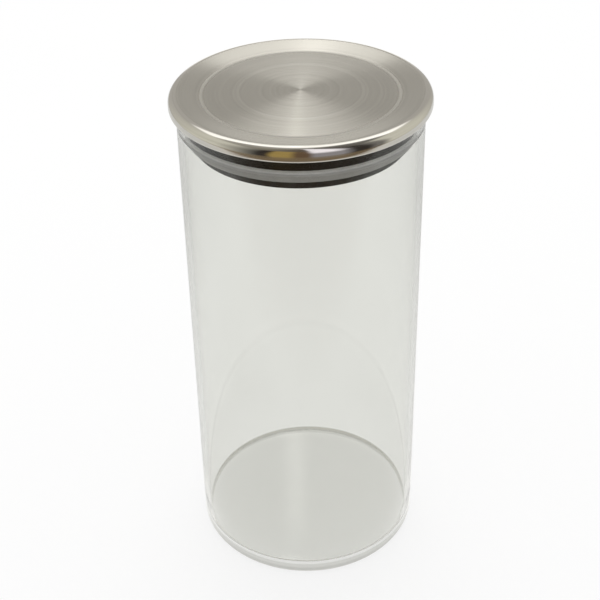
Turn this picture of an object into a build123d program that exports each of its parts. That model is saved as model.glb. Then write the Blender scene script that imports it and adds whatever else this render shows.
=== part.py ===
from build123d import *
import math
import os

# Lidded glass canister. Millimetres, +Z up, origin at the centre of the foot.
# The jar is one piece of glass. The lid is a steel cover rolled over a moulded
# insert, and the insert carries a silicone seal in a groove.

# Glass jar
JAR_OUTER_DIA = 100.0     # outside of the glass tube
JAR_WALL = 2.4            # thickness of the tube
JAR_HEIGHT = 218.5        # foot to the top of the rim
JAR_FLOOR = 7.4           # thickness of the floor at its edge
FOOT_ROUND = 5.8          # outside radius where the wall turns into the foot
FLOOR_ROUND = 1.5         # inside radius where the wall meets the floor
FOOT_LAND = 5.0           # width of the flat ring that the jar stands on
PUSH_UP = 0.5             # hollow of the underside inside that ring
RIM_ROUND = 0.8           # fire-polished radius on both edges of the rim

# Steel cover of the lid
SHEET = 0.6               # thickness of the steel
COVER_SHOULDER = 3.4      # outside radius of the top edge
COVER_WALL = 1.4          # straight wall between the shoulder and the lip
COVER_LIP = 1.8           # width of the turned-in lip that holds the insert
LIP_BEND = 0.4            # inside radius of the bend into that lip
BORDER_WIDTH = 8.5        # border between the crease and the shoulder
BORDER_LEAN = 9.5         # rise of the border towards the shoulder, in degrees
CREASE_WIDTH = 1.4        # rounded crease between the border and the panel
PANEL_CROWN = 0.9         # rise of the panel towards its centre

# Moulded insert of the lid
INSERT_WALL = 2.0         # general thickness of the moulding
FLANGE_THICKNESS = 2.2    # part that rests on the rim of the jar
SKIRT_WALL = 1.4          # ring outside the rim of the jar
SKIRT_CLEARANCE = 0.7     # that ring to the outside of the glass
COVER_GAP = 0.1           # insert to the inside of the cover
PLUG_CLEARANCE = 0.6      # plug to the inside of the glass
PLUG_GUIDE = 9.0          # plug wall between the rim seat and the seal groove
GROOVE_HEIGHT = 4.9       # height of the seal groove
GROOVE_DEPTH = 4.8        # depth of the groove into the plug
NOSE_HEIGHT = 4.2         # tapered nose below the groove
NOSE_SETBACK = 1.0        # upper edge of the nose inside the plug wall
NOSE_TAPER = 3.0          # lead-in of the nose towards its lower edge
EDGE_ROUND = 0.6          # rounded edges of the moulding
RIB_COUNT = 6             # spokes under the panel
RIB_WALL = 1.6            # thickness of spokes and hub
HUB_DIA = 20.0            # outside of the hub ring where the spokes meet
PANEL_GAP = 0.2           # spokes to the lowest part of the panel

# Silicone seal
LIP_CLEARANCE = 0.25      # edge of the seal to the glass
SEAL_SEAT_GAP = 0.05      # seal to the floor and sides of its groove
SEAL_BEVEL = 0.6          # bevel above the widest line of the seal
SEAL_ROUND = 0.3          # rounded edges of that bevel
RELIEF_RADIUS = 1.5       # channel inside the seal that lets it flex

# Radii and levels of the jar
jar_r = JAR_OUTER_DIA / 2
bore_r = jar_r - JAR_WALL
foot_r = jar_r - FOOT_ROUND
hollow_r = foot_r - FOOT_LAND
floor_r = bore_r - FLOOR_ROUND
floor_edge_z = JAR_FLOOR + FLOOR_ROUND
rim_in_r = bore_r + RIM_ROUND
rim_out_r = jar_r - RIM_ROUND
rim_z = JAR_HEIGHT - RIM_ROUND

# Radii of the lid, from the glass outwards
skirt_in_r = jar_r + SKIRT_CLEARANCE
skirt_r = skirt_in_r + SKIRT_WALL
cover_in_r = skirt_r + COVER_GAP
cover_r = cover_in_r + SHEET
crest_r = cover_r - COVER_SHOULDER
lip_bend_out = LIP_BEND + SHEET
lip_bend_r = cover_r - lip_bend_out
lip_end_r = cover_r - COVER_LIP

# Levels of the lid, from the rim of the jar upwards and back down
flange_z = JAR_HEIGHT + FLANGE_THICKNESS
top_z = flange_z + COVER_GAP + SHEET
shoulder_z = top_z - COVER_SHOULDER
lip_bend_z = shoulder_z - COVER_WALL
lip_z = lip_bend_z - lip_bend_out
skirt_z = lip_z + SHEET

# Top of the cover, from the shoulder inwards: leaning border, crease, crowned panel
lean = math.radians(BORDER_LEAN)
lean_start = 90 + BORDER_LEAN
border_r = crest_r - COVER_SHOULDER * math.sin(lean)
border_z = shoulder_z + COVER_SHOULDER * math.cos(lean)
crease_r = border_r - BORDER_WIDTH
crease_z = border_z - BORDER_WIDTH * math.tan(lean)
panel_r = crease_r - CREASE_WIDTH
panel_lean = 2 * PANEL_CROWN / panel_r
panel_z = crease_z - CREASE_WIDTH * (math.tan(lean) - panel_lean) / 2
crease_dip = CREASE_WIDTH * (math.tan(lean) + panel_lean) / 8
sheet_drop = SHEET / math.cos(lean)

# Plug, groove and nose of the insert
plug_r = bore_r - PLUG_CLEARANCE
plug_in_r = plug_r - INSERT_WALL
groove_r = plug_r - GROOVE_DEPTH
cup_r = groove_r - INSERT_WALL
nose_r = plug_r - NOSE_SETBACK
nose_end_r = nose_r - NOSE_TAPER
recess_r = nose_end_r - INSERT_WALL
groove_top = JAR_HEIGHT - PLUG_GUIDE
groove_low = groove_top - GROOVE_HEIGHT
shelf_z = groove_top + INSERT_WALL
web_z = groove_low - INSERT_WALL
nose_z = groove_low - NOSE_HEIGHT
rib_top = panel_z - crease_dip - sheet_drop - PANEL_GAP

# Section of the seal
seal_r = bore_r - LIP_CLEARANCE
seal_in_r = groove_r + SEAL_SEAT_GAP
seal_top = groove_top - SEAL_SEAT_GAP
seal_low = groove_low + SEAL_SEAT_GAP
relief_z = (seal_top + seal_low) / 2


def bend(centre_r, centre_z, radius, start, end):
    """Arc in the section between two angles in degrees."""
    points = []
    for angle in (start, (start + end) / 2, end):
        a = math.radians(angle)
        points.append((centre_r + radius * math.cos(a), centre_z + radius * math.sin(a)))
    return ThreePointArc(*points)


def sag_arc(edge_r, edge_z, rise):
    """Shallow arc from the axis, level there, out to a point of the section."""
    ball = (edge_r ** 2 + rise ** 2) / (2 * abs(rise))
    half_r = edge_r / 2
    fall = ball - math.sqrt(ball ** 2 - half_r ** 2)
    centre_z = edge_z + rise
    half_z = centre_z - math.copysign(fall, rise)
    return ThreePointArc((0, centre_z), (half_r, half_z), (edge_r, edge_z))


def spin(edges):
    """Turn a closed section of radius and height round the Z axis."""
    section = make_face([Plane.XZ * edge for edge in edges])
    return revolve(section, Axis.Z)


def post(radius, height):
    """Upright cylinder that stands on the web of the insert."""
    stand = (Align.CENTER, Align.CENTER, Align.MIN)
    return Pos(0, 0, groove_low) * Cylinder(radius, height, align=stand)


def glass_jar():
    return spin([
        sag_arc(hollow_r, 0, PUSH_UP),
        Line((hollow_r, 0), (foot_r, 0)),
        bend(foot_r, FOOT_ROUND, FOOT_ROUND, -90, 0),
        Line((jar_r, FOOT_ROUND), (jar_r, rim_z)),
        bend(rim_out_r, rim_z, RIM_ROUND, 0, 90),
        Line((rim_out_r, JAR_HEIGHT), (rim_in_r, JAR_HEIGHT)),
        bend(rim_in_r, rim_z, RIM_ROUND, 90, 180),
        Line((bore_r, rim_z), (bore_r, floor_edge_z)),
        bend(floor_r, floor_edge_z, FLOOR_ROUND, 0, -90),
        Line((floor_r, JAR_FLOOR), (0, JAR_FLOOR)),
        Line((0, JAR_FLOOR), (0, PUSH_UP)),
    ])


def border_end(inset):
    """Outer end of the border, on a line this far below the steel's top face."""
    radius = COVER_SHOULDER - inset
    return crest_r - radius * math.sin(lean), shoulder_z + radius * math.cos(lean)


def lid_top(drop):
    """Upper line of the cover's section from the axis to the border, lowered by drop."""
    middle_z = (panel_z + crease_z) / 2 - crease_dip
    panel = sag_arc(panel_r, panel_z - drop, PANEL_CROWN)
    crease = ThreePointArc(
        (panel_r, panel_z - drop),
        (panel_r + CREASE_WIDTH / 2, middle_z - drop),
        (crease_r, crease_z - drop),
    )
    return panel, crease


def lid_cover():
    panel, crease = lid_top(0)
    panel_under, crease_under = lid_top(sheet_drop)
    centre_z = panel_z + PANEL_CROWN
    return spin([
        panel,
        crease,
        Line((crease_r, crease_z), border_end(0)),
        bend(crest_r, shoulder_z, COVER_SHOULDER, lean_start, 0),
        Line((cover_r, shoulder_z), (cover_r, lip_bend_z)),
        bend(lip_bend_r, lip_bend_z, lip_bend_out, 0, -90),
        Line((lip_bend_r, lip_z), (lip_end_r, lip_z)),
        Line((lip_end_r, lip_z), (lip_end_r, skirt_z)),
        Line((lip_end_r, skirt_z), (lip_bend_r, skirt_z)),
        bend(lip_bend_r, lip_bend_z, LIP_BEND, -90, 0),
        Line((cover_in_r, lip_bend_z), (cover_in_r, shoulder_z)),
        bend(crest_r, shoulder_z, COVER_SHOULDER - SHEET, 0, lean_start),
        Line(border_end(SHEET), (crease_r, crease_z - sheet_drop)),
        crease_under,
        panel_under,
        Line((0, centre_z - sheet_drop), (0, centre_z)),
    ])


def lid_insert():
    # Flange and skirt over the rim, then plug wall, groove, nose and web
    corner = COVER_SHOULDER - SHEET - COVER_GAP
    flange_r, flange_end_z = border_end(SHEET + COVER_GAP)
    flange_in_z = flange_end_z - (flange_r - plug_in_r) * math.tan(lean)
    body = spin([
        Line((0, groove_low), (cup_r, groove_low)),
        Line((cup_r, groove_low), (cup_r, shelf_z)),
        Line((cup_r, shelf_z), (plug_in_r, shelf_z)),
        Line((plug_in_r, shelf_z), (plug_in_r, flange_in_z)),
        Line((plug_in_r, flange_in_z), (flange_r, flange_end_z)),
        bend(crest_r, shoulder_z, corner, lean_start, 0),
        Line((skirt_r, shoulder_z), (skirt_r, skirt_z + EDGE_ROUND)),
        bend(skirt_r - EDGE_ROUND, skirt_z + EDGE_ROUND, EDGE_ROUND, 0, -90),
        Line((skirt_r - EDGE_ROUND, skirt_z), (skirt_in_r, skirt_z)),
        Line((skirt_in_r, skirt_z), (skirt_in_r, JAR_HEIGHT)),
        Line((skirt_in_r, JAR_HEIGHT), (plug_r, JAR_HEIGHT)),
        Line((plug_r, JAR_HEIGHT), (plug_r, groove_top)),
        Line((plug_r, groove_top), (groove_r, groove_top)),
        Line((groove_r, groove_top), (groove_r, groove_low)),
        Line((groove_r, groove_low), (nose_r, groove_low)),
        Line((nose_r, groove_low), (nose_end_r, nose_z)),
        Line((nose_end_r, nose_z), (recess_r, nose_z)),
        Line((recess_r, nose_z), (recess_r, web_z)),
        Line((recess_r, web_z), (0, web_z)),
        Line((0, web_z), (0, groove_low)),
    ])
    nose_edges = body.edges().filter_by(GeomType.CIRCLE).group_by(Axis.Z)[0]
    body = fillet(nose_edges, EDGE_ROUND)

    # Hub ring and spokes that stand on the web and back up the panel
    rib_height = rib_top - groove_low
    hub_r = HUB_DIA / 2
    spoke_in = hub_r - RIB_WALL / 2
    stand = (Align.MIN, Align.CENTER, Align.MIN)
    spoke = Pos(spoke_in, 0, groove_low) * Box(groove_r - spoke_in, RIB_WALL, rib_height, align=stand)
    spoke = spoke & post(cup_r, rib_height)
    ribs = post(hub_r, rib_height) - post(hub_r - RIB_WALL, rib_height)
    for i in range(RIB_COUNT):
        ribs += Rot(0, 0, 360 * i / RIB_COUNT) * spoke
    return body + ribs


def seal_ring():
    ring = spin([
        Line((seal_in_r, seal_low), (seal_in_r, relief_z - RELIEF_RADIUS)),
        bend(seal_in_r, relief_z, RELIEF_RADIUS, -90, 90),
        Line((seal_in_r, relief_z + RELIEF_RADIUS), (seal_in_r, seal_top)),
        Line((seal_in_r, seal_top), (seal_r - SEAL_BEVEL, seal_top)),
        Line((seal_r - SEAL_BEVEL, seal_top), (seal_r, seal_top - SEAL_BEVEL)),
        Line((seal_r, seal_top - SEAL_BEVEL), (nose_r, seal_low)),
        Line((nose_r, seal_low), (seal_in_r, seal_low)),
    ])
    bevel_edges = ring.edges().filter_by(GeomType.CIRCLE).sort_by(SortBy.RADIUS)[-2:]
    return fillet(bevel_edges, SEAL_ROUND)


pieces = {
    "glass_jar": glass_jar(),
    "lid_cover": lid_cover(),
    "lid_insert": lid_insert(),
    "seal_ring": seal_ring(),
}

os.makedirs("parts", exist_ok=True)
for name, solid in pieces.items():
    export_step(solid, "parts/" + name + ".step")
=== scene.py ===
import math
import bmesh
import bpy
from mathutils import Matrix, Vector


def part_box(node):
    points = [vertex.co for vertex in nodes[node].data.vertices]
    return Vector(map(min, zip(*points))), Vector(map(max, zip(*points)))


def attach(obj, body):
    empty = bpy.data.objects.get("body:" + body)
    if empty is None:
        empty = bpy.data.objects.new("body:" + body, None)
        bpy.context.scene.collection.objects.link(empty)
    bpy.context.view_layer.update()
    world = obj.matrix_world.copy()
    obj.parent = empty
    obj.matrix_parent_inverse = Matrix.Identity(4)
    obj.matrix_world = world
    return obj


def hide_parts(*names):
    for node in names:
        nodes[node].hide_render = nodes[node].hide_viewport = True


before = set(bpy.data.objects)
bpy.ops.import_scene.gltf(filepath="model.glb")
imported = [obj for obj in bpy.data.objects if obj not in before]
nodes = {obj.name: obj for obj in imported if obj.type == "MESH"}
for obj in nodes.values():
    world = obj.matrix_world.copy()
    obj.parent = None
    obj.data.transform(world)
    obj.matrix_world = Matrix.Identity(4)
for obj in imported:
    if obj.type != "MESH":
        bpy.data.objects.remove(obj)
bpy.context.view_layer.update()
MM = 0.001

# Sizes that part.py also holds, in millimetres. Overall sizes come from the frame.
JAR_WALL = 2.4
JAR_FLOOR = 7.4
FOOT_ROUND = 5.8
FLOOR_ROUND = 1.5
FOOT_LAND = 5.0
PUSH_UP = 0.5
RIM_ROUND = 0.8
SHEET = 0.6
COVER_SHOULDER = 3.4
COVER_LIP = 1.8
LIP_BEND = 0.4
BORDER_WIDTH = 8.5
BORDER_LEAN = 9.5
CREASE_WIDTH = 1.4
PANEL_CROWN = 0.9
PLUG_CLEARANCE = 0.6
GROOVE_DEPTH = 4.8
NOSE_SETBACK = 1.0
LIP_CLEARANCE = 0.25
SEAL_SEAT_GAP = 0.05
SEAL_BEVEL = 0.6
SEAL_ROUND = 0.3
RELIEF_RADIUS = 1.5

# Meshes
SEGMENTS = 192            # facets round each turned piece
SHARP_ANGLE = 28.0        # a section corner above this many degrees stays crisp
TINY = 1e-6               # points closer than this are one point

# Looks
GLASS_IOR = 1.474
WET_IOR = 1.02            # underside of the foot, which light passes almost unbent
PLASTIC_IOR = 1.49
SILICONE_IOR = 1.06
WET_SHARE = 0.3           # share of the foot's round that counts as underside
EDGE_HIGHLIGHT_SHARE = 0.85         # share of the seal's bevel that shows the painted highlight of its pale upper edge
TURN_MARK = 25.2          # radius of a faint turning line on the panel, in millimetres
TURN_MARK_REACH = 1.0     # how far that line fades to each side, in millimetres
TURN_MARK_SHARE = 0.35    # how much of its own tone that line shows

# Stage, in metres
FLOOR_RADIUS = 0.72
FLOOR_SHIFT = 0.35        # centre of the floor behind the jar
FLOOR_GAP = 0.0003        # keeps the floor just under the foot
FLOOR_GLOW = 0.82         # share of the floor's white that does not depend on the lamps
LEVEL_SIGHT = 0.891       # share of +Y in the way that a level panel mirrors the camera
NEAR_GROUND = (0.204, 0.153, 0.094)   # ground on the camera's side, as the steel mirrors it

# Camera, fitted to the photograph
PHOTO_WIDTH = 600.0       # pixels
FOCAL_LENGTH = 1284.53    # pixels
SENSOR_WIDTH = 36.0       # millimetres
CAMERA_PLACE = (0, -0.46852, 0.43759)
CAMERA_YAW = -0.0040      # radians, as are the next two
CAMERA_PITCH = 0.5958
CAMERA_ROLL = -0.0201


def top_of(node):
    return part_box(node)[1][2] / MM


def low_of(node):
    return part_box(node)[0][2] / MM


def radius_of(node):
    low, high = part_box(node)
    return (high[0] - low[0]) / 2 / MM


jar_r = radius_of("glass_jar")
jar_h = top_of("glass_jar")
bore_r = jar_r - JAR_WALL
foot_r = jar_r - FOOT_ROUND
plug_r = bore_r - PLUG_CLEARANCE
cover_r = radius_of("lid_cover")
lid_top = top_of("lid_cover")
lid_low = low_of("lid_cover")
seal_top = top_of("seal_ring")
seal_low = low_of("seal_ring")
wet_z = FOOT_ROUND * WET_SHARE


# Turned pieces

def arc(centre_r, centre_z, radius, start, end, steps):
    points = []
    for i in range(steps + 1):
        a = math.radians(start + (end - start) * i / steps)
        points.append((centre_r + radius * math.cos(a), centre_z + radius * math.sin(a)))
    return points


def run(start, end, steps):
    points = []
    for i in range(steps + 1):
        t = i / steps
        points.append((start[0] + (end[0] - start[0]) * t, start[1] + (end[1] - start[1]) * t))
    return points


def crown(radius, base_z, rise, steps):
    """Low arch from the axis outwards, rise high over its edge."""
    points = []
    for i in range(steps + 1):
        r = radius * i / steps
        points.append((r, base_z + rise * (1 - (r / radius) ** 2)))
    return points


def join(*runs):
    points = []
    for part in runs:
        for p in part:
            if not points or math.dist(points[-1], p) > TINY:
                points.append(p)
    return points


def rounded(before, corner, after, radius, steps):
    """Arc that rounds off a corner of a section."""
    corner = Vector(corner)
    u = (Vector(before) - corner).normalized()
    v = (Vector(after) - corner).normalized()
    half = u.angle(v) / 2
    centre = corner + (u + v).normalized() * (radius / math.sin(half))
    start = corner + u * (radius / math.tan(half)) - centre
    end = corner + v * (radius / math.tan(half)) - centre
    return [tuple(centre + start.slerp(end, i / steps)) for i in range(steps + 1)]


def corner_angle(a, b, c):
    u = Vector((b[0] - a[0], b[1] - a[1]))
    v = Vector((c[0] - b[0], c[1] - b[1]))
    if u.length < TINY or v.length < TINY:
        return 0.0
    return math.degrees(u.angle(v))


def turned(name, section, materials, choose, closed=False):
    """Mesh turned from a section of (radius, height) points in millimetres.

    choose gives the number of the material at a radius and height.
    """
    bm = bmesh.new()
    rings = []
    for r, z in section:
        if r < TINY:
            rings.append([bm.verts.new((0, 0, z * MM))])
            continue
        ring = []
        for j in range(SEGMENTS):
            a = 2 * math.pi * j / SEGMENTS
            ring.append(bm.verts.new((r * MM * math.cos(a), r * MM * math.sin(a), z * MM)))
        rings.append(ring)
    count = len(rings)
    for i in range(count if closed else count - 1):
        one, two = rings[i], rings[(i + 1) % count]
        p, q = section[i], section[(i + 1) % count]
        pick = choose((p[0] + q[0]) / 2, (p[1] + q[1]) / 2)
        for j in range(SEGMENTS):
            k = (j + 1) % SEGMENTS
            if len(one) == 1:
                face = bm.faces.new((one[0], two[j], two[k]))
            elif len(two) == 1:
                face = bm.faces.new((one[j], two[0], one[k]))
            else:
                face = bm.faces.new((one[j], two[j], two[k], one[k]))
            face.smooth = True
            face.material_index = pick
    bmesh.ops.recalc_face_normals(bm, faces=bm.faces)
    for i, ring in enumerate(rings):
        if len(ring) == 1 or (not closed and i in (0, count - 1)):
            continue
        if corner_angle(section[i - 1], section[i], section[(i + 1) % count]) > SHARP_ANGLE:
            for j in range(SEGMENTS):
                bm.edges.get((ring[j], ring[(j + 1) % SEGMENTS])).smooth = False
    mesh = bpy.data.meshes.new(name)
    bm.to_mesh(mesh)
    bm.free()
    obj = bpy.data.objects.new(name, mesh)
    bpy.context.scene.collection.objects.link(obj)
    for m in materials:
        mesh.materials.append(m)
    return obj


# Node trees

class Nodes:
    """Short calls for building the node tree of a material or of the world."""

    def __init__(self, owner, output):
        owner.use_nodes = True
        self.owner = owner
        self.tree = owner.node_tree
        self.tree.nodes.clear()
        self.out = self.add(output)

    def add(self, kind, **settings):
        node = self.tree.nodes.new(kind)
        for key, value in settings.items():
            setattr(node, key, value)
        return node

    def link(self, source, target):
        self.tree.links.new(source, target)

    def put(self, value, target):
        """Set a socket to a colour or a number, or link another socket to it."""
        if isinstance(value, tuple):
            target.default_value = (*value, 1)
        elif isinstance(value, (int, float)):
            target.default_value = value
        else:
            self.link(value, target)

    def math(self, operation, *values):
        node = self.add("ShaderNodeMath", operation=operation)
        for value, target in zip(values, node.inputs):
            self.put(value, target)
        return node.outputs[0]

    def product(self, first, *others):
        for value in others:
            first = self.math("MULTIPLY", first, value)
        return first

    def away(self, value, centre):
        """Distance of a value from a centre, without its sign."""
        return self.math("ABSOLUTE", self.math("SUBTRACT", value, centre))

    def length(self, x, y):
        return self.math("SQRT", self.math("ADD", self.product(x, x), self.product(y, y)))

    def span(self, value, low, high, to_low, to_high):
        node = self.add("ShaderNodeMapRange")
        for v, target in zip((value, low, high, to_low, to_high), node.inputs):
            self.put(v, target)
        return node.outputs[0]

    def rise(self, value, low, high):
        return self.span(value, low, high, 0.0, 1.0)

    def fall(self, value, low, high):
        return self.span(value, low, high, 1.0, 0.0)

    def ramp(self, factor, stops):
        node = self.add("ShaderNodeValToRGB")
        ramp = node.color_ramp
        while len(ramp.elements) < len(stops):
            ramp.elements.new(0.5)
        for element, (place, colour) in zip(ramp.elements, stops):
            element.position = place
            element.color = (*colour, 1)
        self.link(factor, node.inputs[0])
        return node.outputs[0]

    def shades(self, noise, deep, light):
        """Colour that follows the middle range of a noise."""
        return self.ramp(noise, ((0.3, deep), (0.7, light)))

    def blend(self, factor, one, two):
        node = self.add("ShaderNodeMix", data_type="RGBA")
        for i, value in ((0, factor), (6, one), (7, two)):
            self.put(value, node.inputs[i])
        return node.outputs[2]

    def noise(self, vector, scale, detail=2.0, roughness=0.5):
        node = self.add("ShaderNodeTexNoise")
        node.inputs["Scale"].default_value = scale
        node.inputs["Detail"].default_value = detail
        node.inputs["Roughness"].default_value = roughness
        self.link(vector, node.inputs["Vector"])
        return node.outputs[0]

    def principled(self, **values):
        node = self.add("ShaderNodeBsdfPrincipled")
        for key, value in values.items():
            node.inputs[key.replace("_", " ")].default_value = value
        self.link(node.outputs[0], self.out.inputs[0])
        return node

    def bump(self, height, strength, distance):
        node = self.add("ShaderNodeBump")
        node.inputs["Strength"].default_value = strength
        node.inputs["Distance"].default_value = distance
        self.link(height, node.inputs["Height"])
        return node.outputs[0]

    def coords(self, output="Object"):
        return self.add("ShaderNodeTexCoord").outputs[output]

    def axes(self, vector):
        split = self.add("ShaderNodeSeparateXYZ")
        self.link(vector, split.inputs[0])
        return split.outputs

    def polar(self):
        """Radius, direction round the Z axis as two shares, and height, in object coordinates."""
        x, y, z = self.axes(self.coords())
        radius = self.length(x, y)
        return radius, self.math("DIVIDE", x, radius), self.math("DIVIDE", y, radius), z

    def vector(self, *values):
        node = self.add("ShaderNodeCombineXYZ")
        for value, target in zip(values, node.inputs):
            self.put(value, target)
        return node.outputs[0]

    def mirrored(self):
        """1 for rays that a shiny surface sends, otherwise 0."""
        return self.add("ShaderNodeLightPath").outputs["Is Glossy Ray"]

    def seen(self):
        """1 for rays that the camera sends straight or through glass, otherwise 0."""
        path = self.add("ShaderNodeLightPath").outputs
        sight = self.math("MAXIMUM", path["Is Camera Ray"], path["Is Transmission Ray"])
        return self.product(sight, self.math("LESS_THAN", path["Glossy Depth"], 0.5))


def material(name):
    return Nodes(bpy.data.materials.new(name), "ShaderNodeOutputMaterial")


# Materials

def brushed_steel(name, roughness, anisotropy):
    """Steel with fine turning lines, and one line that stands out a little on the panel."""
    fine_pitch, broad_pitch = 2600.0, 700.0     # turning lines per metre of radius
    drift = 0.025                               # how little the lines change round the axis
    spread = 0.015
    n = material(name)
    radius, across, along, _ = n.polar()
    mark = n.span(n.away(radius, TURN_MARK * MM), 0.0, TURN_MARK_REACH * MM, TURN_MARK_SHARE, 0.0)
    across, along = n.product(across, drift), n.product(along, drift)
    fine = n.noise(n.vector(n.product(radius, fine_pitch), across, along), 1.0, 3.0, 0.65)
    broad = n.noise(n.vector(n.product(radius, broad_pitch), across, along), 1.0, 2.0)
    both = n.math("ADD", n.product(fine, 0.5), n.product(broad, 0.5))
    p = n.principled(Metallic=1.0, Anisotropic=anisotropy, Anisotropic_Rotation=0.25)
    tone = n.ramp(both, ((0.35, (0.555, 0.54, 0.5)), (0.65, (0.645, 0.63, 0.585))))
    n.link(n.blend(mark, tone, (0.70, 0.69, 0.65)), p.inputs["Base Color"])
    n.link(n.span(both, 0.25, 0.75, roughness - spread, roughness + spread), p.inputs["Roughness"])
    tangent = n.add("ShaderNodeTangent", direction_type="RADIAL", axis="Z")
    n.link(tangent.outputs[0], p.inputs["Tangent"])
    n.link(n.bump(both, 0.01, 0.0001), p.inputs["Normal"])
    return n.owner


def polished_steel(name, roughness):
    """Bright steel with faint turning lines."""
    pitch = 2500.0
    n = material(name)
    radius, across, along, z = n.polar()
    lines = n.noise(n.vector(n.product(n.math("ADD", radius, z), pitch), across, along), 1.0, 2.0)
    p = n.principled(Metallic=1.0)
    n.link(n.shades(lines, (0.69, 0.672, 0.63), (0.78, 0.76, 0.72)), p.inputs["Base Color"])
    n.link(n.span(lines, 0.3, 0.7, roughness - 0.03, roughness + 0.05), p.inputs["Roughness"])
    return n.owner


def clear_glass(name, ior):
    """Clear glass with painted light and shade: lighter low on the wall, darker in the thick base, partly
    as its thicker glass and partly as painted shade, and with painted shade at its heel and round its
    inner corner.
    """
    n = material(name)
    coords = n.coords()
    haze = n.noise(coords, 14.0, 3.0)
    x, y, z = n.axes(coords)
    radius = n.length(x, y)
    between = (bore_r + JAR_WALL / 4) * MM      # parts the outer faces from the inner ones
    corner_z = (JAR_FLOOR + FLOOR_ROUND / 2) * MM
    tone = n.shades(haze, (0.867, 0.871, 0.847), (0.885, 0.889, 0.866))
    # painted light: the wall is lighter from the floor up to about 40 mm
    tone = n.blend(n.fall(z, 0.012, 0.04), tone, (0.900, 0.904, 0.883))
    # darker tone in the thick base: partly the deeper tone of thicker glass, partly painted shade for the
    # shade beneath the jar
    base = n.fall(z, JAR_FLOOR * MM, corner_z)
    tone = n.blend(base, tone, (0.775, 0.778, 0.749))
    # painted shade on the outer faces of the foot, darkest in a band round the heel
    outer = n.product(base, n.math("GREATER_THAN", radius, between))
    heel = n.product(
        n.rise(z, wet_z * MM, FOOT_ROUND * 0.7 * MM),
        n.fall(z, FOOT_ROUND * 0.75 * MM, FOOT_ROUND * 1.1 * MM))
    tone = n.blend(outer, tone, n.blend(heel, (0.60, 0.60, 0.565), (0.36, 0.36, 0.335)))
    # painted shade: a dark ring round the inner corner of the floor
    corner = n.product(
        n.rise(radius, (bore_r - FLOOR_ROUND) * MM, bore_r * MM),
        n.math("LESS_THAN", n.away(z, corner_z), FLOOR_ROUND / 2 * MM),
        n.math("LESS_THAN", radius, between))
    tone = n.blend(corner, tone, (0.49, 0.48, 0.42))
    p = n.principled(IOR=ior, Transmission_Weight=1.0)
    n.link(tone, p.inputs["Base Color"])
    n.link(n.span(haze, 0.3, 0.7, 0.010, 0.020), p.inputs["Roughness"])
    return n.owner


def black_plastic(name):
    n = material(name)
    coords = n.coords()
    grain = n.noise(coords, 2600.0, 2.0)
    drift = n.noise(coords, 60.0, 3.0)
    p = n.principled(IOR=PLASTIC_IOR, Specular_IOR_Level=0.06)
    n.link(n.shades(drift, (0.003, 0.003, 0.0033), (0.006, 0.006, 0.0066)), p.inputs["Base Color"])
    n.link(n.span(drift, 0.3, 0.7, 0.38, 0.52), p.inputs["Roughness"])
    n.link(n.bump(grain, 0.12, 0.0001), p.inputs["Normal"])
    return n.owner


def silicone(name, tone, clear):
    """Milky silicone. clear is the share of light that passes through it."""
    n = material(name)
    cloud = n.noise(n.coords(), 180.0, 3.0)
    p = n.principled(IOR=SILICONE_IOR, Transmission_Weight=clear, Roughness=0.31)
    deep, light = (tone - 0.05, tone - 0.06, tone - 0.08), (tone + 0.05, tone + 0.04, tone + 0.02)
    n.link(n.shades(cloud, deep, light), p.inputs["Base Color"])
    return n.owner


glass = clear_glass("glass_clear", GLASS_IOR)
glass_foot = clear_glass("glass_foot", WET_IOR)
steel_top = brushed_steel("steel_spun", 0.22, 0.95)
steel_edge = polished_steel("steel_polished", 0.075)
steel_border = brushed_steel("steel_border", 0.2, 0.8)
steel_crease = brushed_steel("steel_crease", 0.3, 0.3)
plastic = black_plastic("plastic_black")
rubber = silicone("silicone_milky", 0.78, 0.39)
# painted highlight: paler, nearly opaque silicone for the seal's upper edge, where light catches it
rubber_edge_highlight = silicone("silicone_edge_highlight", 0.93, 0.05)

for node_name, finish in (
    ("glass_jar", glass), ("lid_cover", steel_top), ("lid_insert", plastic), ("seal_ring", rubber),
):
    for holder in nodes[node_name].material_slots:
        holder.material = finish


# Glass jar

def jar_section():
    hollow_r = foot_r - FOOT_LAND
    floor_r = bore_r - FLOOR_ROUND
    floor_z = JAR_FLOOR + FLOOR_ROUND
    rim_z = jar_h - RIM_ROUND
    return join(
        crown(hollow_r, 0, PUSH_UP, steps=12),
        run((hollow_r, 0), (foot_r, 0), steps=2),
        arc(foot_r, FOOT_ROUND, FOOT_ROUND, -90, 0, steps=16),
        run((jar_r, FOOT_ROUND), (jar_r, rim_z), steps=24),
        arc(jar_r - RIM_ROUND, rim_z, RIM_ROUND, 0, 90, steps=8),
        arc(bore_r + RIM_ROUND, rim_z, RIM_ROUND, 90, 180, steps=8),
        run((bore_r, rim_z), (bore_r, floor_z), steps=24),
        arc(floor_r, floor_z, FLOOR_ROUND, 0, -90, steps=12),
        run((floor_r, JAR_FLOOR), (0, JAR_FLOOR), steps=10),
    )


def jar_finish(r, z):
    """The underside touches the table, so light passes it as it does through a wet face."""
    return 1 if z < wet_z else 0


jar = turned("jar_glass", jar_section(), [glass, glass_foot], jar_finish)
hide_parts("glass_jar")
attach(jar, "jar")


# Steel cover

lean = math.radians(BORDER_LEAN)
crest_r = cover_r - COVER_SHOULDER
shoulder_z = lid_top - COVER_SHOULDER
border_r = crest_r - COVER_SHOULDER * math.sin(lean)
border_z = shoulder_z + COVER_SHOULDER * math.cos(lean)
crease_r = border_r - BORDER_WIDTH
crease_z = border_z - BORDER_WIDTH * math.tan(lean)
panel_r = crease_r - CREASE_WIDTH
panel_lean = 2 * PANEL_CROWN / panel_r
panel_z = crease_z - CREASE_WIDTH * (math.tan(lean) - panel_lean) / 2


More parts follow.
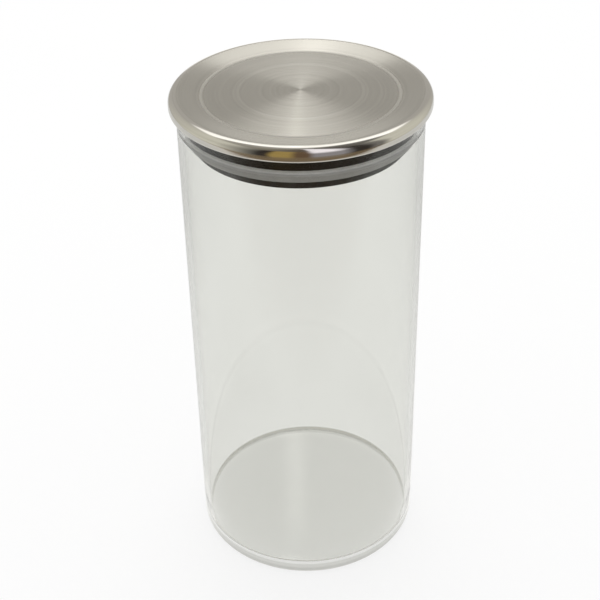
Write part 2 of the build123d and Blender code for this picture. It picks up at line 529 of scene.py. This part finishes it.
def lid_face(drop):
    """Upper line of the cover from the axis to the border, lowered by drop."""
    crease_steps = 10
    points = crown(panel_r, panel_z - drop, PANEL_CROWN, steps=24)
    for i in range(1, crease_steps + 1):
        w = CREASE_WIDTH * i / crease_steps
        turn = (math.tan(lean) + panel_lean) * w * w / (2 * CREASE_WIDTH)
        points.append((panel_r + w, panel_z - panel_lean * w + turn - drop))
    return points


def cover_section():
    bend_out = LIP_BEND + SHEET
    bend_r = cover_r - bend_out
    bend_z = lid_low + bend_out
    lip_end = cover_r - COVER_LIP
    drop = SHEET / math.cos(lean)
    crest = arc(crest_r, shoulder_z, COVER_SHOULDER, 90 + BORDER_LEAN, 0, steps=20)
    under = arc(crest_r, shoulder_z, COVER_SHOULDER - SHEET, 0, 90 + BORDER_LEAN, steps=14)
    return join(
        lid_face(0),
        run((crease_r, crease_z), crest[0], steps=8),
        crest,
        arc(bend_r, bend_z, bend_out, 0, -90, steps=10),
        run((bend_r, lid_low), (lip_end, lid_low), steps=2),
        run((lip_end, lid_low + SHEET), (bend_r, lid_low + SHEET), steps=2),
        arc(bend_r, bend_z, LIP_BEND, -90, 0, steps=6),
        under,
        run(under[-1], (crease_r, crease_z - drop), steps=4),
        list(reversed(lid_face(drop))),
    )


def cover_finish(r, z):
    """Polished shoulder, lip and inside, and a brushed border, crease and panel."""
    if r > crest_r or z < shoulder_z or z < panel_z - SHEET / 2:
        return 1
    if r > crease_r:
        return 3
    return 2 if r > panel_r else 0


cover = turned(
    "lid_cover_steel", cover_section(), [steel_top, steel_edge, steel_crease, steel_border], cover_finish)
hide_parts("lid_cover")
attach(cover, "lid")


# Silicone seal

def seal_section():
    seal_r = bore_r - LIP_CLEARANCE
    inner = plug_r - GROOVE_DEPTH + SEAL_SEAT_GAP
    nose_r = plug_r - NOSE_SETBACK
    upper = (seal_r - SEAL_BEVEL, seal_top)
    widest = (seal_r, seal_top - SEAL_BEVEL)
    return join(
        [(inner, seal_low)],
        arc(inner, (seal_top + seal_low) / 2, RELIEF_RADIUS, -90, 90, steps=10),
        [(inner, seal_top)],
        rounded((inner, seal_top), upper, widest, SEAL_ROUND, steps=6),
        rounded(upper, widest, (nose_r, seal_low), SEAL_ROUND, steps=6),
        [(nose_r, seal_low)],
    )


def seal_finish(r, z):
    """The upper outer edge carries a painted highlight: it is paler than the rest."""
    return 1 if z > seal_top - SEAL_BEVEL * EDGE_HIGHLIGHT_SHARE and r > plug_r - SEAL_BEVEL else 0


seal = turned("seal_silicone", seal_section(), [rubber, rubber_edge_highlight], seal_finish, closed=True)
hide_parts("seal_ring")
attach(seal, "lid")


# Floor, light and camera

def add_floor():
    """Pale floor that the eye sees as white and the steel and the glass mirror as a room's floor."""
    bm = bmesh.new()
    bmesh.ops.create_circle(
        bm, cap_ends=True, segments=64, radius=FLOOR_RADIUS,
        matrix=Matrix.Translation((0, FLOOR_SHIFT, 0)))
    mesh = bpy.data.meshes.new("floor")
    bm.to_mesh(mesh)
    bm.free()
    floor = bpy.data.objects.new("floor", mesh)
    floor.location.z = -FLOOR_GAP
    bpy.context.scene.collection.objects.link(floor)
    n = material("floor_pale")
    coords = n.coords()
    x, y, _ = n.axes(coords)
    seen = n.seen()
    pale = n.shades(n.noise(coords, 3.0), (0.187, 0.187, 0.186), (0.193, 0.193, 0.192))
    room = n.ramp(n.rise(y, -0.4, 0.1), (
        (0.06, NEAR_GROUND), (0.25, (0.45, 0.39, 0.33)),
        (0.42, (0.81, 0.79, 0.74)), (0.9, (0.77, 0.77, 0.75))))
    diffuse = n.add("ShaderNodeBsdfDiffuse")
    n.link(n.blend(seen, room, pale), diffuse.inputs[0])

    # Painted light: a glow, in what the glass and the steel mirror, that makes the floor brighter round
    # the jar, where shade falls, and further out behind it
    foot = jar_r * MM
    reach = n.length(x, y)
    close = n.math(
        "ADD", n.span(reach, foot, foot * 1.4, 0.32, 0.0), n.span(reach, foot, foot * 3.5, 0.25, 0.0))
    behind = n.product(n.span(reach, foot, foot * 7, 0.27, 0.0), n.rise(y, -0.1, 0.0))
    bright = n.product(n.mirrored(), n.math("MAXIMUM", close, behind))
    glow = n.add("ShaderNodeEmission")
    glow.inputs[0].default_value = (1, 1, 1, 1)
    n.link(n.math("MAXIMUM", n.product(seen, FLOOR_GLOW), bright), glow.inputs[1])
    both = n.add("ShaderNodeAddShader")
    n.link(diffuse.outputs[0], both.inputs[0])
    n.link(glow.outputs[0], both.inputs[1])
    n.link(both.outputs[0], n.out.inputs[0])
    mesh.materials.append(n.owner)


def add_world():
    """White to the eye, soft fill for the light, and a room for the steel to mirror."""
    world = bpy.data.worlds.new("studio")
    bpy.context.scene.world = world
    n = Nodes(world, "ShaderNodeOutputWorld")
    x, y, z = n.axes(n.coords("Generated"))
    share = n.rise(n.math("ARCTAN2", x, n.product(y, -1.0)), -math.pi, math.pi)

    def around(*areas):
        """Colours round the room, each from one angle to another in degrees from the camera's side."""
        stops = []
        for first, last, colour in areas:
            stops += [(angle / 360.0 + 0.5, colour) for angle in (first, last)]
        return n.ramp(share, stops)

    # Walls, ceiling, window and ground
    back, side = (0.468, 0.452, 0.422), (0.67, 0.655, 0.57)
    dark, gold, brown = (0.04, 0.034, 0.029), (0.39, 0.28, 0.094), (0.145, 0.094, 0.055)
    pale, grey, window = (0.315, 0.30, 0.315), (0.19, 0.18, 0.165), (1.1, 1.06, 1.12)
    none, full = (0, 0, 0), (1, 1, 1)
    far_ground = (0.51, 0.485, 0.41)
    walls = around(
        (-180, -150, back), (-100, -74, side), (-36, -30, dark), (-24, -11, gold), (-4, 5, brown),
        (11, 34, pale), (46, 56, dark), (64, 69, grey), (79, 115, side), (150, 180, back))
    ceiling = around(
        (-180, -150, back), (-100, -100, (0.40, 0.385, 0.34)), (-50, -50, (0.26, 0.24, 0.2)),
        (0, 0, (0.12, 0.095, 0.07)), (50, 50, (0.11, 0.10, 0.09)), (110, 110, grey), (150, 180, back))
    panes = around((-180, 6, none), (11, 34, full), (44, 180, none))
    ground = around((-180, -100, far_ground), (-70, 70, NEAR_GROUND), (100, 180, far_ground))
    wide = n.math("ABSOLUTE", x)
    walls = n.blend(n.rise(z, 0.72, 0.84), walls, ceiling)
    walls = n.blend(n.product(panes, n.rise(z, 0.35, 0.65)), walls, window)
    low = n.product(n.rise(y, 0.8, 0.92), n.fall(z, 0.13, 0.21), n.fall(wide, 0.14, 0.26))
    walls = n.blend(low, walls, (1.0, 0.975, 0.91))
    walls = n.blend(n.fall(z, -0.5, -0.25), walls, ground)

    # Lamp overhead: a fan that opens from the way in which a level panel mirrors the camera
    opening, widening, narrowest = 0.6, 3.6, 0.003
    above = n.math("MAXIMUM", z, 0.05)
    ahead = n.math("DIVIDE", y, above)
    aside = n.math("DIVIDE", x, above)
    past = n.away(y, LEVEL_SIGHT)
    edge = n.product(past, n.math("ADD", n.product(past, widening), opening))
    fan = n.math("DIVIDE", wide, n.math("MAXIMUM", edge, narrowest))
    lamp = n.product(
        n.fall(fan, 0.85, 1.2), n.rise(ahead, 0.25, 0.42), n.fall(ahead, 2.05, 2.5),
        n.fall(n.math("ABSOLUTE", aside), 0.65, 0.9))
    shine = n.ramp(n.rise(ahead, 0.0, 2.8), (
        (0.14, (1.6, 1.58, 1.53)), (0.36, (1.2, 1.18, 1.13)),
        (0.54, (1.08, 1.06, 1.01)), (0.9, (1.0, 0.98, 0.93))))
    walls = n.blend(lamp, walls, shine)

    # Narrow bright streak that the glass floor mirrors
    streak = n.product(
        n.fall(n.away(aside, -0.019), 0.004, 0.026), n.rise(ahead, 0.98, 1.06), n.fall(ahead, 1.3, 1.5))
    walls = n.blend(streak, walls, (2.8, 2.76, 2.68))

    def background(colour):
        node = n.add("ShaderNodeBackground")
        n.put(colour, node.inputs[0])
        return node.outputs[0]

    def pick(factor, one, two):
        node = n.add("ShaderNodeMixShader")
        for value, target in zip((factor, one, two), node.inputs):
            n.link(value, target)
        return node.outputs[0]

    light = pick(n.mirrored(), background((0.7, 0.7, 0.7)), background(walls))
    n.link(pick(n.seen(), light, background((1.0, 1.0, 1.0))), n.out.inputs[0])


def add_softbox(name, place, aim, size, power):
    lamp = bpy.data.lights.new(name, "AREA")
    lamp.shape = "RECTANGLE"
    lamp.size, lamp.size_y = size
    lamp.energy = power
    obj = bpy.data.objects.new(name, lamp)
    obj.location = place
    obj.rotation_euler = (Vector(aim) - Vector(place)).to_track_quat("-Z", "Y").to_euler()
    obj.visible_glossy = False
    bpy.context.scene.collection.objects.link(obj)


def add_camera():
    cam = bpy.data.cameras.new("photo_view")
    cam.sensor_fit = "HORIZONTAL"
    cam.sensor_width = SENSOR_WIDTH
    cam.lens = SENSOR_WIDTH * FOCAL_LENGTH / PHOTO_WIDTH
    cam.clip_start = 0.01
    obj = bpy.data.objects.new("photo_view", cam)
    level = math.cos(CAMERA_PITCH)
    ahead = Vector((math.sin(CAMERA_YAW) * level, math.cos(CAMERA_YAW) * level, -math.sin(CAMERA_PITCH)))
    right = ahead.cross(Vector((0, 0, 1))).normalized()
    up = right.cross(ahead)
    c, s = math.cos(CAMERA_ROLL), math.sin(CAMERA_ROLL)
    right, up = c * right + s * up, c * up - s * right
    turn = Matrix((right, up, -ahead)).transposed().to_4x4()
    obj.matrix_world = Matrix.Translation(CAMERA_PLACE) @ turn
    bpy.context.scene.collection.objects.link(obj)
    bpy.context.scene.camera = obj


add_floor()
add_world()
add_softbox("overhead", place=(0, 0.5, 1.25), aim=(0, 0.5, 0), size=(0.6, 0.5), power=2.8)
add_softbox("overhead_wide", place=(0, 0.6, 1.3), aim=(0, 0.6, 0), size=(1.4, 0.3), power=1.9)
add_camera()
bpy.context.scene.view_settings.view_transform = "Standard"
